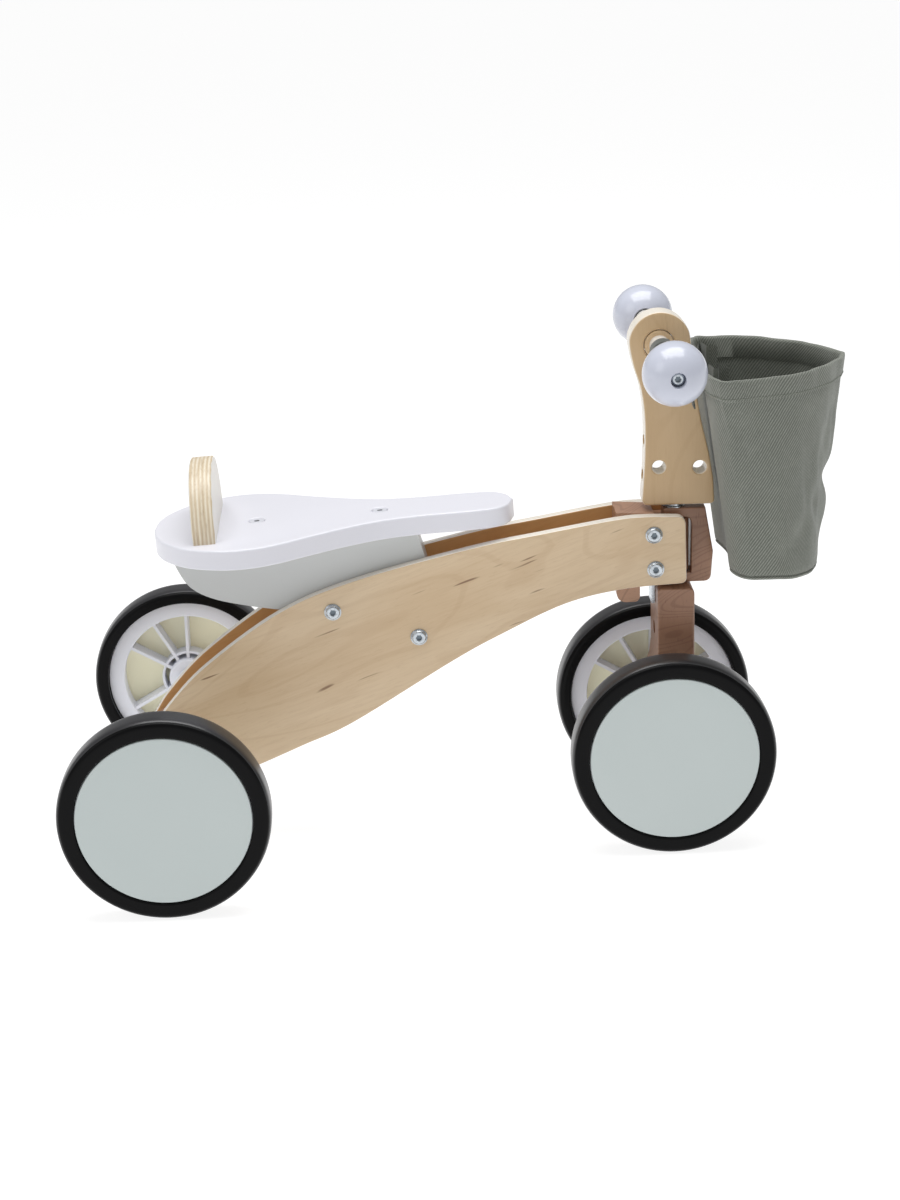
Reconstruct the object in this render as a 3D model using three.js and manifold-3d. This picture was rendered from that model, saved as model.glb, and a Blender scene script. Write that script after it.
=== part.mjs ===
// A wooden four-wheeled balance bike for a toddler: two arched side panels on a head block, a pear-shaped
// seat, a plate-like steering post with a dowel handlebar, four covered wheels and a cloth basket.
// Millimetres. +X is forward, +Y is the rider's left and +Z is up. Heights are measured from the floor, and
// lengths from the rear axle until the whole bike is moved to the centre of its own outline.
import * as THREE from "three";
import { mergeVertices } from "three/addons/utils/BufferGeometryUtils.js";
import Module from "manifold-3d";

const wasm = await Module();
wasm.setup();

// Wheels
const TYRE_R = 78;
const TYRE_BORE_R = 66.9;
const TYRE_LIP_R = 64.7;
const TYRE_HALF_WIDTH = 13;
const RIM_R = 66.6;
const RIM_WELL_R = 53.8;
const RIM_INNER = -6.5;
const RIM_OUTER = 9;
const COVER_R = 64.2;
const COVER_INNER = 9.3;
const COVER_OUTER = 12.5;
const BOSS_R = 16.5;
const BOSS_RING_R = 22.5;
const BOSS_RING_WALL = 2;
const BOSS_INNER = -9;
const BOSS_POCKET_R = 10;
const BOSS_POCKET_FLOOR = 2.5;
const SPOKE_WIDTH = 3;
const SPOKE_INNER = -4.5;
const SPOKE_DEGREES = [90, 120, 150, 210, 240, 270, 330, 0, 30];
const AXLE_R = 4.2;
const AXLE_BORE_R = 4.4;
const AXLE_END = 7.6;
const NUT_R = 8;
const NUT_INNER = 2.9;
const NUT_OUTER = 6.6;
const NUT_BORE_R = 4.6;
const SLEEVE_R = 9;
const WHEEL_SEGMENTS = 32;

// Where the wheels stand
const AXLE_Z = TYRE_R;
const WHEELBASE = 380.9;
const REAR_HALF_TRACK = 148.8;
const FRONT_HALF_TRACK = 69.7;

// Frame
const FRAME_HALF_WIDTH = 25;
const PANEL_THICKNESS = 9;
const GAP = 0.3;
const BLOCK_HALF_WIDTH = FRAME_HALF_WIDTH - PANEL_THICKNESS - GAP;
const PANEL_EDGE = 0.8;
const BOLT_HEAD_R = 6.5;
const BOLT_HEAD_HEIGHT = 2.8;
const BOLT_R = 3;
const BOLT_HOLE_R = 3.4;
const BOLT_LENGTH = 21;
const BOLT_SOCKET_R = 2.3;
const FRAME_BOLTS = [
  [126.2, 187],
  [191.2, 164.2],
  [371.8, 238.3],
  [373, 211],
];

// Seat, which climbs a little towards the front
const SEAT_PIVOT_X = 60;
const SEAT_TOP_Z = 254.4;
const SEAT_SLOPE = 0.05;
const SEAT_THICKNESS = 15.5;
const SEAT_SCREWS = [11, 105];
const SEAT_SCREW_R = 5.6;
const BACKREST_X = -26;
const BACKREST_THICKNESS = 17.2;
const BACKREST_HOUSING = 1.2;
const BACKREST_R = 54.5;
const BACKREST_HEIGHT = 51;

// Steering
const STEER_X = 390;
const STEER_BOLT_R = 4;
const POST_HALF = 9.5;
const HANDLE_X = 378;
const HANDLE_Z = 381.3;
const HANDLE_R = 7.8;
const HANDLE_MIDDLE_R = 11.2;
const GRIP_Y = 102.8;
const GRIP_R = 23.5;
const GRIP_BORE_R = 8.1;
const GRIP_RECESS_R = 5.8;
const GRIP_BOLT_R = 5.2;
const FORK_HALF = 24;
const FORK_TOP = 194.4;
const FORK_REAR = 374.6;
const FORK_FRONT = 403;

// Basket
const BASKET_TOP = 369;
const BASKET_BASE = 213;
const BASKET_WALL = 3;
const BASKET_FRONT = 516;
const BASKET_BACK = 418;
const BASKET_DENT_HALF = 38;
const BASKET_RINGS = 4;
const BASKET_SIDES = 28;
const STRAP_Y = 36;
const STRAP_WIDTH = 14;

const bike = new THREE.Group();
bike.name = "balance_bike";

const MATERIALS = {
  veneer: new THREE.MeshStandardMaterial({ color: 0xcdb28e, roughness: 0.5, metalness: 0 }),
  beech: new THREE.MeshStandardMaterial({ color: 0xa5785f, roughness: 0.55, metalness: 0 }),
  white_paint: new THREE.MeshStandardMaterial({ color: 0xececf2, roughness: 0.35, metalness: 0 }),
  tyre: new THREE.MeshStandardMaterial({ color: 0x1a1a1b, roughness: 0.6, metalness: 0 }),
  hub_plastic: new THREE.MeshStandardMaterial({ color: 0xe4e6ec, roughness: 0.4, metalness: 0 }),
  cover: new THREE.MeshStandardMaterial({ color: 0xbbc4c3, roughness: 0.6, metalness: 0 }),
  zinc: new THREE.MeshStandardMaterial({ color: 0xb9bfc4, roughness: 0.3, metalness: 1 }),
  grip_paint: new THREE.MeshStandardMaterial({ color: 0xdcdfe8, roughness: 0.3, metalness: 0 }),
  cloth: new THREE.MeshStandardMaterial({ color: 0x7d8278, roughness: 0.9, metalness: 0 }),
  strap: new THREE.MeshStandardMaterial({ color: 0x4a4d48, roughness: 0.85, metalness: 0 }),
};

function addMesh(name, geometry, material, parent = bike) {
  const mesh = new THREE.Mesh(geometry, MATERIALS[material]);
  mesh.name = name;
  parent.add(mesh);
  return mesh;
}

// A closed geometry as a manifold solid, and back again.
function solidOf(geometry) {
  const bare = geometry.clone();
  bare.deleteAttribute("normal");
  bare.deleteAttribute("uv");
  const merged = mergeVertices(bare, 1e-3);
  return new wasm.Manifold(
    new wasm.Mesh({
      numProp: 3,
      vertProperties: new Float32Array(merged.attributes.position.array),
      triVerts: new Uint32Array(merged.index.array),
    }),
  );
}

function geometryOf(solid) {
  const made = solid.getMesh();
  const geometry = new THREE.BufferGeometry();
  geometry.setAttribute("position", new THREE.BufferAttribute(new Float32Array(made.vertProperties), 3));
  geometry.setIndex(new THREE.BufferAttribute(new Uint32Array(made.triVerts), 1));
  geometry.computeVertexNormals();
  return geometry;
}

function cut(geometry, cutters) {
  let solid = solidOf(geometry);
  for (const cutter of cutters) {
    solid = solid.subtract(solidOf(cutter));
  }
  return geometryOf(solid);
}

function join(geometries) {
  let solid = solidOf(geometries[0]);
  for (const geometry of geometries.slice(1)) {
    solid = solid.add(solidOf(geometry));
  }
  return geometryOf(solid);
}

// A turned solid about the Y axis. Each pair is a radius and a distance along +Y.
function turned(profile, segments) {
  const points = profile.map(([radius, along]) => new THREE.Vector2(radius, along));
  return new THREE.LatheGeometry(points, segments);
}

function closed(profile) {
  return [...profile, profile[0]];
}

// A rod along one axis, centred on a point.
function rod(radius, length, direction, centre, segments = 20) {
  const geometry = new THREE.CylinderGeometry(radius, radius, length, segments);
  if (direction === "x") {
    geometry.rotateZ(Math.PI / 2);
  }
  if (direction === "z") {
    geometry.rotateX(Math.PI / 2);
  }
  geometry.translate(...centre);
  return geometry;
}

function circlePoints(x, z, radius, sides) {
  const points = [];
  for (let i = 0; i < sides; i += 1) {
    const angle = (2 * Math.PI * i) / sides;
    points.push(new THREE.Vector2(x + radius * Math.cos(angle), z + radius * Math.sin(angle)));
  }
  return points;
}

function circleHole(x, z, radius, sides = 16) {
  return new THREE.Path(circlePoints(x, z, radius, sides));
}

// A plate whose outline lies in the XZ plane, between two values of y, with its edges eased.
function plate(shape, yLow, yHigh, edge, curveSegments = 6) {
  const options = { depth: yHigh - yLow - 2 * edge, curveSegments, bevelEnabled: edge > 0 };
  options.bevelThickness = edge;
  options.bevelSize = edge;
  options.bevelOffset = -edge;
  options.bevelSegments = 1;
  const geometry = new THREE.ExtrudeGeometry(shape, options);
  geometry.rotateX(Math.PI / 2);
  geometry.translate(0, yHigh - edge, 0);
  return geometry;
}

function vectors(pairs) {
  return pairs.map(([a, b]) => new THREE.Vector2(a, b));
}

// Side panels: an arch from the rear axle up to the head, deepest under the seat.
function panelShape() {
  const shape = new THREE.Shape();
  shape.moveTo(-19, 93);
  shape.splineThru(vectors([[-4.6, 114.3], [26.6, 146.6], [85.3, 187.8], [143.4, 211], [233.6, 233.2]]));
  shape.splineThru(vectors([[285.3, 242.2], [342.3, 251.3], [366.5, 252.8], [390, 252]]));
  shape.quadraticCurveTo(395.6, 251.4, 396, 246);
  shape.lineTo(396.6, 203);
  shape.quadraticCurveTo(396.4, 199, 392, 198.8);
  shape.splineThru(vectors([[347.2, 195.8], [303.5, 186], [255.6, 164.1], [216.6, 143.4], [138.7, 96.5]]));
  shape.splineThru(vectors([[99.2, 79.1], [63.5, 64], [34, 52.5], [6, 48.5]]));
  shape.bezierCurveTo(-12, 47, -31, 66, -19, 93);
  for (const [x, z] of FRAME_BOLTS) {
    shape.holes.push(circleHole(x, z, BOLT_HOLE_R, 10));
  }
  shape.holes.push(circleHole(0, AXLE_Z, AXLE_BORE_R));
  return shape;
}

const panelInner = FRAME_HALF_WIDTH - PANEL_THICKNESS;
const panel = panelShape();
addMesh("side_panel_right", plate(panel, -FRAME_HALF_WIDTH, -panelInner, PANEL_EDGE, 2), "veneer");
addMesh("side_panel_left", plate(panel, panelInner, FRAME_HALF_WIDTH, PANEL_EDGE, 2), "veneer");

// Head block between the front ends of the panels, bored for the steering bolt. Its lower rear end hangs
// below the panels as the steering stop, and its front is rounded for the bracket that swings round it.
function headBlock() {
  const shape = new THREE.Shape();
  shape.moveTo(344, 254.2);
  shape.lineTo(373, 252.4);
  shape.lineTo(373, 246.2);
  shape.lineTo(396, 246.2);
  shape.lineTo(396, 203.2);
  shape.lineTo(365, 203.2);
  shape.lineTo(362, 199);
  shape.lineTo(362, 187);
  shape.quadraticCurveTo(361.5, 182.4, 357, 182.4);
  shape.lineTo(351, 182.4);
  shape.quadraticCurveTo(344.4, 183, 344, 190);
  shape.closePath();
  for (const [x, z] of FRAME_BOLTS.slice(2)) {
    shape.holes.push(circleHole(x, z, BOLT_HOLE_R, 10));
  }
  const body = plate(shape, -BLOCK_HALF_WIDTH, BLOCK_HALF_WIDTH, 0);
  const round = new THREE.Shape();
  const cornerR = 9;
  const front = 396.5;
  const side = BLOCK_HALF_WIDTH + 0.5;
  round.moveTo(340, -side);
  round.lineTo(front - cornerR, -side);
  round.quadraticCurveTo(front - 1, -side + 1, front, -side + cornerR);
  round.lineTo(front, side - cornerR);
  round.quadraticCurveTo(front - 1, side - 1, front - cornerR, side);
  round.lineTo(340, side);
  round.closePath();
  const keep = new THREE.ExtrudeGeometry(round, { depth: 90, bevelEnabled: false, curveSegments: 5 });
  keep.translate(0, 0, 175);
  const kept = solidOf(body).intersect(solidOf(keep));
  const bore = rod(STEER_BOLT_R + 0.3, 60, "z", [STEER_X, 0, 225]);
  return geometryOf(kept.subtract(solidOf(bore)));
}
addMesh("head_block", headBlock(), "beech");

// Painted block under the seat, clamped between the panels.
const seatTilt = new THREE.Group();
seatTilt.position.set(SEAT_PIVOT_X, 0, SEAT_TOP_Z);
seatTilt.rotation.y = -Math.atan(SEAT_SLOPE);
bike.add(seatTilt);

function seatUnderside(x) {
  return SEAT_TOP_Z + (x - SEAT_PIVOT_X) * SEAT_SLOPE - SEAT_THICKNESS - 2 * GAP;
}

function supportShape() {
  const shape = new THREE.Shape();
  shape.moveTo(192, seatUnderside(192));
  shape.lineTo(5, seatUnderside(5));
  shape.splineThru(vectors([[10, 221.6], [19.1, 207.6], [36, 198.1], [63.1, 191.3], [88.1, 187.1]]));
  shape.quadraticCurveTo(104, 184, 110, 172);
  shape.quadraticCurveTo(116, 160, 134, 157);
  shape.lineTo(196, 148);
  shape.quadraticCurveTo(207, 148, 207, 160);
  shape.quadraticCurveTo(206, 200, 198.7, 223.5);
  shape.quadraticCurveTo(195.5, 234, 192, seatUnderside(192));
  for (const [x, z] of FRAME_BOLTS.slice(0, 2)) {
    shape.holes.push(circleHole(x, z, BOLT_HOLE_R, 10));
  }
  return shape;
}
const supportPlate = plate(supportShape(), -BLOCK_HALF_WIDTH, BLOCK_HALF_WIDTH, 0, 4);
addMesh("seat_support", cutForSeatScrews(supportPlate, 1), "white_paint");

// The two countersunk screws that hold the seat run down into the support.
function cutForSeatScrews(geometry, inWorld) {
  const cutters = SEAT_SCREWS.map((along) => {
    const hole = rod(2.6, 60, "z", [along, 0, -30], 12);
    if (inWorld) {
      seatTilt.updateMatrix();
      hole.applyMatrix4(seatTilt.matrix);
    }
    return hole;
  });
  return cut(geometry, cutters);
}

// Seat plate: a pear outline, widest behind the middle, with a waist, a rounded nose and a shallow housing
// for the foot of the backrest.
function seatShape() {
  const rear = -67;
  const nose = 207;
  const halfOutline = [[-58, 39], [-40, 61], [-14, 74.2], [8, 75.4], [28, 68.5], [50, 56], [78, 41]];
  const noseOutline = [[106, 29.5], [136, 25.4], [166, 26.6], [190, 24.5], [203, 13]];
  const upper = [...halfOutline, ...noseOutline];
  const lower = upper.map(([x, y]) => [x, -y]).reverse();
  const shape = new THREE.Shape();
  shape.moveTo(rear, 0);
  shape.splineThru(vectors([...upper, [nose, 0], ...lower, [rear, 0]]));
  return shape;
}

function seatPlate() {
  const edge = 2.2;
  const options = { depth: SEAT_THICKNESS - 2 * edge, bevelEnabled: true, curveSegments: 26 };
  options.bevelThickness = edge;
  options.bevelSize = edge;
  options.bevelOffset = -edge;
  options.bevelSegments = 1;
  const full = new THREE.Shape(seatShape().getSpacedPoints(56).slice(0, 56));
  const geometry = new THREE.ExtrudeGeometry(full, options);
  geometry.translate(0, 0, -SEAT_THICKNESS + edge);
  const sinks = SEAT_SCREWS.map((along) => rod(SEAT_SCREW_R + 0.4, 7, "z", [along, 0, 0], 16));
  const long = 2 * (BACKREST_R + GAP);
  const housing = new THREE.BoxGeometry(BACKREST_THICKNESS + 2 * GAP, long, 2 * BACKREST_HOUSING);
  housing.translate(BACKREST_X, 0, 0);
  return cutForSeatScrews(cut(geometry, [...sinks, housing]), 0);
}
addMesh("seat_plate", seatPlate(), "white_paint", seatTilt);

// Countersunk seat screw: head flush with the seat, socket in the top, shank down into the support.
function seatScrew() {
  const profile = [
    [0, -34],
    [2.3, -32],
    [2.3, -3.2],
    [SEAT_SCREW_R, -3.2],
    [SEAT_SCREW_R, -0.6],
    [2.1, -0.6],
    [0, -2.4],
  ];
  const geometry = turned(profile, 16);
  geometry.rotateX(Math.PI / 2);
  return geometry;
}
SEAT_SCREWS.forEach((along, index) => {
  const screw = addMesh(["seat_screw_rear", "seat_screw_front"][index], seatScrew(), "zinc", seatTilt);
  screw.position.x = along;
});

// Backrest: a half-round plate that stands across the rear of the seat, let into its housing.
function backrest() {
  const shape = new THREE.Shape();
  const base = GAP - BACKREST_HOUSING;
  shape.moveTo(-BACKREST_R, base);
  shape.lineTo(BACKREST_R, base);
  shape.bezierCurveTo(BACKREST_R - 1, 30, 34, BACKREST_HEIGHT, 0, BACKREST_HEIGHT);
  shape.bezierCurveTo(-34, BACKREST_HEIGHT, -BACKREST_R + 1, 30, -BACKREST_R, base);
  const options = { depth: BACKREST_THICKNESS - 2.4, bevelEnabled: true, curveSegments: 10 };
  options.bevelThickness = 1.2;
  options.bevelSize = 1.2;
  options.bevelOffset = -1.2;
  options.bevelSegments = 1;
  const geometry = new THREE.ExtrudeGeometry(shape, options);
  geometry.rotateX(Math.PI / 2);
  geometry.rotateZ(Math.PI / 2);
  geometry.translate(BACKREST_X - BACKREST_THICKNESS / 2 + 1.2, 0, 0);
  return geometry;
}
addMesh("backrest", backrest(), "white_paint", seatTilt);

// Connector bolts with domed heads, one from each side at each of four places.
function frameBolt() {
  const shoulder = BOLT_HEAD_HEIGHT * 0.45;
  const profile = [
    [0, BOLT_LENGTH],
    [BOLT_R, BOLT_LENGTH],
    [BOLT_R, -GAP],
    [BOLT_HEAD_R, -GAP],
    [BOLT_HEAD_R, -GAP - shoulder],
    [BOLT_HEAD_R - 1.6, -BOLT_HEAD_HEIGHT],
    [BOLT_SOCKET_R, -BOLT_HEAD_HEIGHT],
    [BOLT_SOCKET_R, -1],
    [0, -1],
  ];
  return turned(profile.reverse(), 12);
}
for (const [side, sign] of [["right", -1], ["left", 1]]) {
  FRAME_BOLTS.forEach(([x, z], index) => {
    const bolt = addMesh("frame_bolt_" + side + "_" + (index + 1), frameBolt(), "zinc");
    bolt.rotation.z = sign > 0 ? Math.PI : 0;
    bolt.position.set(x, sign * FRAME_HALF_WIDTH, z);
  });
}

// Rear axle, its block between the panels and the sleeves that space the wheels off the panels.
const rearBlock = new THREE.Shape(circlePoints(0, AXLE_Z, 24, 28));
rearBlock.holes.push(circleHole(0, AXLE_Z, AXLE_BORE_R));
addMesh("rear_axle_block", plate(rearBlock, -BLOCK_HALF_WIDTH, BLOCK_HALF_WIDTH, 0, 24), "beech");

function sleeve(from, to) {
  return turned(closed([[AXLE_BORE_R, from], [SLEEVE_R, from], [SLEEVE_R, to], [AXLE_BORE_R, to]]), 20);
}

function addAxle(prefix, x, halfTrack, from) {
  const half = halfTrack + AXLE_END;
  const axle = turned([[0, -half], [AXLE_R, -half], [AXLE_R, half], [0, half]], 20);
  axle.translate(x, 0, AXLE_Z);
  addMesh(prefix + "_axle", axle, "zinc");
  for (const [side, sign] of [["right", -1], ["left", 1]]) {
    const turn = sign > 0 ? 0 : Math.PI;
    const tube = addMesh(prefix + "_sleeve_" + side, sleeve(from, halfTrack + BOSS_INNER - GAP), "hub_plastic");
    tube.rotation.z = turn;
    tube.position.set(x, 0, AXLE_Z);
    const inner = halfTrack + NUT_INNER;
    const outer = halfTrack + NUT_OUTER;
    const ring = closed([[NUT_BORE_R, inner], [NUT_R, inner], [NUT_R, outer], [NUT_BORE_R, outer]]);
    const nut = addMesh(prefix + "_axle_nut_" + side, turned(ring, 12), "zinc");
    nut.rotation.z = turn;
    nut.position.set(x, 0, AXLE_Z);
  }
}
addAxle("rear", 0, REAR_HALF_TRACK, FRAME_HALF_WIDTH + GAP);
addAxle("front", WHEELBASE, FRONT_HALF_TRACK, FORK_HALF + GAP);

// A wheel, with +Y pointing out of its covered face.
function tyre() {
  const w = TYRE_HALF_WIDTH;
  const section = [
    [TYRE_BORE_R, -w + 2],
    [TYRE_BORE_R + 2, -w],
    [TYRE_R - 4.6, -w + 0.4],
    [TYRE_R - 1.1, -w + 2.6],
    [TYRE_R, -w + 6],
    [TYRE_R, w - 6],
    [TYRE_R - 1.1, w - 2.6],
    [TYRE_R - 4.6, w - 0.4],
    [TYRE_LIP_R + 1.6, w],
    [TYRE_LIP_R, w - 1.4],
    [TYRE_LIP_R, RIM_OUTER + GAP],
    [TYRE_BORE_R, RIM_OUTER + GAP],
  ];
  return turned(closed(section), WHEEL_SEGMENTS);
}

function hub() {
  const rim = closed([
    [RIM_WELL_R, RIM_INNER + 1],
    [RIM_WELL_R + 1, RIM_INNER],
    [RIM_R, RIM_INNER],
    [RIM_R, RIM_OUTER],
    [RIM_WELL_R, RIM_OUTER],
  ]);
  const boss = closed([
    [AXLE_BORE_R, BOSS_INNER],
    [BOSS_R - 2, BOSS_INNER],
    [BOSS_R, BOSS_INNER + 2],
    [BOSS_R, RIM_OUTER],
    [BOSS_POCKET_R, RIM_OUTER],
    [BOSS_POCKET_R, BOSS_POCKET_FLOOR],
    [AXLE_BORE_R, BOSS_POCKET_FLOOR],
  ]);
  const ringIn = BOSS_RING_R - BOSS_RING_WALL;
  const ring = closed([
    [ringIn, SPOKE_INNER],
    [BOSS_RING_R, SPOKE_INNER],
    [BOSS_RING_R, RIM_OUTER],
    [ringIn, RIM_OUTER],
  ]);
  const pieces = [turned(rim, WHEEL_SEGMENTS), turned(boss, 18), turned(ring, 18)];
  const start = BOSS_R - 1.5;
  const end = RIM_WELL_R + 1.5;
  for (const degrees of SPOKE_DEGREES) {
    const spoke = new THREE.BoxGeometry(end - start, RIM_OUTER - SPOKE_INNER - 0.4, SPOKE_WIDTH);
    spoke.translate((start + end) / 2, (RIM_OUTER + SPOKE_INNER) / 2, 0);
    spoke.rotateY(THREE.MathUtils.degToRad(degrees));
    pieces.push(spoke);
  }
  return join(pieces);
}

function cover() {
  const profile = [
    [0, COVER_INNER],
    [COVER_R, COVER_INNER],
    [COVER_R, COVER_OUTER - 0.8],
    [COVER_R - 0.8, COVER_OUTER],
    [0, COVER_OUTER],
  ];
  return turned(profile, WHEEL_SEGMENTS);
}

const tyreGeometry = tyre();
const hubGeometry = hub();
const coverGeometry = cover();
for (const [end, x, halfTrack] of [["rear", 0, REAR_HALF_TRACK], ["front", WHEELBASE, FRONT_HALF_TRACK]]) {
  for (const [side, sign] of [["right", -1], ["left", 1]]) {
    const wheel = new THREE.Group();
    wheel.position.set(x, sign * halfTrack, AXLE_Z);
    wheel.rotation.z = sign > 0 ? 0 : Math.PI;
    bike.add(wheel);
    addMesh(end + "_tyre_" + side, tyreGeometry, "tyre", wheel);
    addMesh(end + "_hub_" + side, hubGeometry, "hub_plastic", wheel);
    addMesh(end + "_cover_" + side, coverGeometry, "cover", wheel);
  }
}

// Steering post: a waisted plate with a round head for the handlebar, two through holes near its foot
// and two bolt pockets in its rear edge.
const POST_HOLES = [[377.6, 287], [408.6, 286]];
const POST_POCKETS = [[364.5, 306], [364.5, 279]];
function steeringPost() {
  const shape = new THREE.Shape();
  shape.moveTo(369, 257);
  shape.quadraticCurveTo(365, 257.4, 364.6, 261.7);
  shape.splineThru(vectors([[366.9, 292.3], [367, 322.7], [364.9, 346.7], [357.5, 367], [355.3, 383]]));
  shape.splineThru(vectors([[363.6, 399.3], [377, 406.2], [390, 402.6], [399, 388], [402.5, 368]]));
  shape.splineThru(vectors([[405, 347], [409.6, 323], [416, 298], [419.4, 277]]));
  shape.lineTo(420, 260);
  shape.quadraticCurveTo(420, 256.6, 416, 256.6);
  shape.holes.push(circleHole(HANDLE_X, HANDLE_Z, HANDLE_MIDDLE_R + 0.35));
  for (const [x, z] of POST_HOLES) {
    shape.holes.push(circleHole(x, z, 5, 12));
  }
  const pockets = POST_POCKETS.map(([x, z]) => rod(5, 20, "x", [x, 0, z], 12));
  return cut(plate(shape, -POST_HALF, POST_HALF, 1.2, 3), pockets);
}
addMesh("steering_post", steeringPost(), "veneer");
POST_POCKETS.forEach(([x, z], index) => {
  const bolt = rod(4.5, 5, "x", [x + 7, 0, z], 12);
  addMesh(["post_bolt_upper", "post_bolt_lower"][index], bolt, "zinc");
});

// Bracket: a C of solid beech that joins the post above the head block to the fork block below it.
function bracket() {
  const shape = new THREE.Shape();
  shape.moveTo(381, 254);
  shape.lineTo(381, 246.9);
  shape.lineTo(397, 246.9);
  shape.quadraticCurveTo(402.2, 246.6, 402.4, 241);
  shape.lineTo(402, 202.5);
  shape.lineTo(379, 202.5);
  shape.lineTo(379, 195);
  shape.lineTo(412, 194.9);
  shape.quadraticCurveTo(417.2, 195, 417.6, 200);
  shape.lineTo(419, 219);
  shape.lineTo(413, 254);
  shape.closePath();
  const bore = rod(STEER_BOLT_R + 0.3, 90, "z", [STEER_X, 0, 225]);
  return cut(plate(shape, -POST_HALF, POST_HALF, 0.8, 4), [bore]);
}
addMesh("steering_bracket", bracket(), "beech");

// Fork block: stands on the front axle, with a foot that reaches back round the axle.
const FORK_NUT_Z = 156.5;
function forkBlock() {
  const shape = new THREE.Shape();
  shape.moveTo(FORK_REAR + 3, FORK_TOP);
  shape.quadraticCurveTo(FORK_REAR, FORK_TOP, FORK_REAR, FORK_TOP - 3);
  shape.lineTo(FORK_REAR, 140);
  shape.bezierCurveTo(FORK_REAR, 118, 362, 112, 360, 84);
  shape.bezierCurveTo(360, 50, 403, 50, FORK_FRONT, 78);
  shape.lineTo(FORK_FRONT, FORK_TOP - 5);
  shape.quadraticCurveTo(FORK_FRONT, FORK_TOP, FORK_FRONT - 5, FORK_TOP);
  shape.closePath();
  shape.holes.push(circleHole(WHEELBASE, AXLE_Z, AXLE_BORE_R));
  const bore = rod(STEER_BOLT_R + 0.3, 60, "z", [STEER_X, 0, 172]);
  const nutHole = rod(5.6, 34, "x", [FORK_REAR + 8, 0, FORK_NUT_Z], 16);
  return cut(plate(shape, -FORK_HALF, FORK_HALF, 1, 5), [bore, nutHole]);
}
addMesh("fork_block", forkBlock(), "beech");

// Steering bolt through bracket, head block and fork block, with its washers and barrel nut.
const steerBolt = turned([
  [0, 147],
  [STEER_BOLT_R - 1, 147],
  [STEER_BOLT_R, 149],
  [STEER_BOLT_R, 255.2],
  [7, 255.2],
  [7, 256.4],
  [0, 256.4],
], 20);
steerBolt.rotateX(Math.PI / 2);
steerBolt.translate(STEER_X, 0, 0);
addMesh("steering_bolt", steerBolt, "zinc");

function washer(low, high, radius) {
  const inner = STEER_BOLT_R + 0.3;
  const ring = turned(closed([[inner, low], [radius, low], [radius, high], [inner, high]]), 20);
  ring.rotateX(Math.PI / 2);
  ring.translate(STEER_X, 0, 0);
  return ring;
}
addMesh("steering_washer", washer(254.2, 254.9, 8.6), "zinc");

const barrelNut = rod(5.2, 18, "x", [STEER_X - 4, 0, FORK_NUT_Z], 16);
const barrelBore = rod(STEER_BOLT_R + 0.3, 20, "z", [STEER_X, 0, FORK_NUT_Z]);
addMesh("steering_barrel_nut", cut(barrelNut, [barrelBore]), "zinc");

const stopPlate = new THREE.BoxGeometry(2.6, 18, 15);
stopPlate.translate(FORK_REAR - 1.7, 0, 186);
addMesh("steering_stop_plate", stopPlate, "zinc");

// Handlebar dowel, thicker where it passes through the post, with a pilot hole in each end.
function handlebar() {
  const end = 101;
  const pilot = end - 22;
  const middle = POST_HALF + 0.4;
  const half = [
    [0, pilot],
    [2.8, pilot],
    [2.8, end],
    [HANDLE_R, end],
    [HANDLE_R, middle],
    [HANDLE_MIDDLE_R, middle],
  ];
  const other = half.map(([radius, along]) => [radius, -along]).reverse();
  const geometry = turned([...half, ...other].reverse(), 20);
  geometry.translate(HANDLE_X, 0, HANDLE_Z);
  return geometry;
}
addMesh("handlebar_dowel", handlebar(), "grip_paint");

// Grip balls: bored for the dowel from inside, with a pocket for the bolt head outside.
const GRIP_FLOOR = 14;
function gripBall() {
  const start = Math.asin((GRIP_BORE_R + 1.4) / GRIP_R) - Math.PI / 2;
  const end = Math.PI / 2 - Math.asin(GRIP_RECESS_R / GRIP_R);
  const steps = 8;
  const profile = [];
  for (let i = 0; i <= steps; i += 1) {
    const angle = start + ((end - start) * i) / steps;
    profile.push([GRIP_R * Math.cos(angle), GRIP_R * Math.sin(angle)]);
  }
  profile.push([GRIP_RECESS_R, GRIP_FLOOR]);
  profile.push([2.8, GRIP_FLOOR]);
  profile.push([2.8, -1.4]);
  profile.push([GRIP_BORE_R, -1.4]);
  profile.push([GRIP_BORE_R, -GRIP_R + 3.6]);
  return turned(closed(profile), 20);
}

function gripBolt() {
  const head = GRIP_FLOOR + 0.3;
  const top = head + 4;
  return turned([
    [0, -18],
    [2.5, -18],
    [2.5, head],
    [GRIP_BOLT_R, head],
    [GRIP_BOLT_R, top - 0.8],
    [GRIP_BOLT_R - 0.8, top],
    [2.2, top],
    [2.2, top - 2],
    [0, top - 2],
  ], 14);
}
for (const [side, sign] of [["right", -1], ["left", 1]]) {
  for (const [name, geometry, material] of [
    ["grip_ball_", gripBall(), "grip_paint"],
    ["grip_bolt_", gripBolt(), "zinc"],
  ]) {
    const mesh = addMesh(name + side, geometry, material);
    mesh.rotation.z = sign > 0 ? 0 : Math.PI;
    mesh.position.set(HANDLE_X, sign * GRIP_Y, HANDLE_Z);
  }
}

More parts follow.
